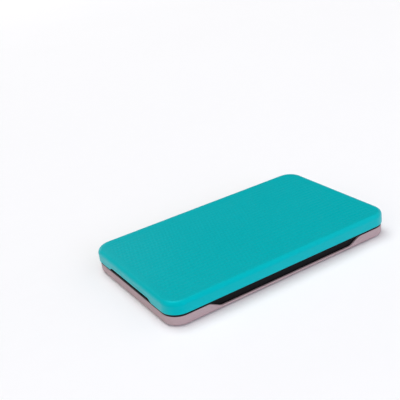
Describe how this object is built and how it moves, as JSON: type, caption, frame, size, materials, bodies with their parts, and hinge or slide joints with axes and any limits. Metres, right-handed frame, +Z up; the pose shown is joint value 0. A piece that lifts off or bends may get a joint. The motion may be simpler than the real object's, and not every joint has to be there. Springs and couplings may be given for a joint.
{
  "type": "wet palette",
  "caption": "Flat lidded wet palette: teal lift-off lid on a black tray in a grey non-slip shell, with a water sponge, palette paper and a strip of mixing wells inside.",
  "frame": {"origin": "on the table under the middle of the closed palette", "axes": "+X along the long side, +Y along the short side towards the back, +Z up out of the lid"},
  "size_m": [0.24, 0.144, 0.0238],
  "materials": {
    "shell_grey": "fine matte, warm grey",
    "foot_rubber": "matte",
    "tray_black": "satin",
    "seal_silicone": "matte",
    "sponge_foam": "open-cell foam",
    "membrane_paper": "smooth parchment",
    "mixer_white": "smooth",
    "lid_teal": "satin with a fine moulded grain on top"
  },
  "bodies": {
    "base": {"base_shell": "shell_grey", "foot_pads": "foot_rubber", "inner_tray": "tray_black", "seal_ring": "seal_silicone"},
    "sponge": {"hydration_sponge": "sponge_foam"},
    "paper": {"palette_paper": "membrane_paper"},
    "mixer": {"mixing_tray": "mixer_white"},
    "lid": {"lid_shell": "lid_teal"}
  },
  "joints": [
    {"name": "sponge_lift", "type": "slide", "parent": "base", "child": "sponge", "axis": [0, 0, 1], "range_m": [0, 0.03]},
    {"name": "paper_lift", "type": "slide", "parent": "sponge", "child": "paper", "axis": [0, 0, 1], "range_m": [0, 0.03]},
    {"name": "mixing_tray_lift", "type": "slide", "parent": "paper", "child": "mixer", "axis": [0, 0, 1], "range_m": [0, 0.03]},
    {"name": "lid_lift", "type": "slide", "parent": "mixer", "child": "lid", "axis": [0, 0, 1], "range_m": [0, 0.06]}
  ]
}
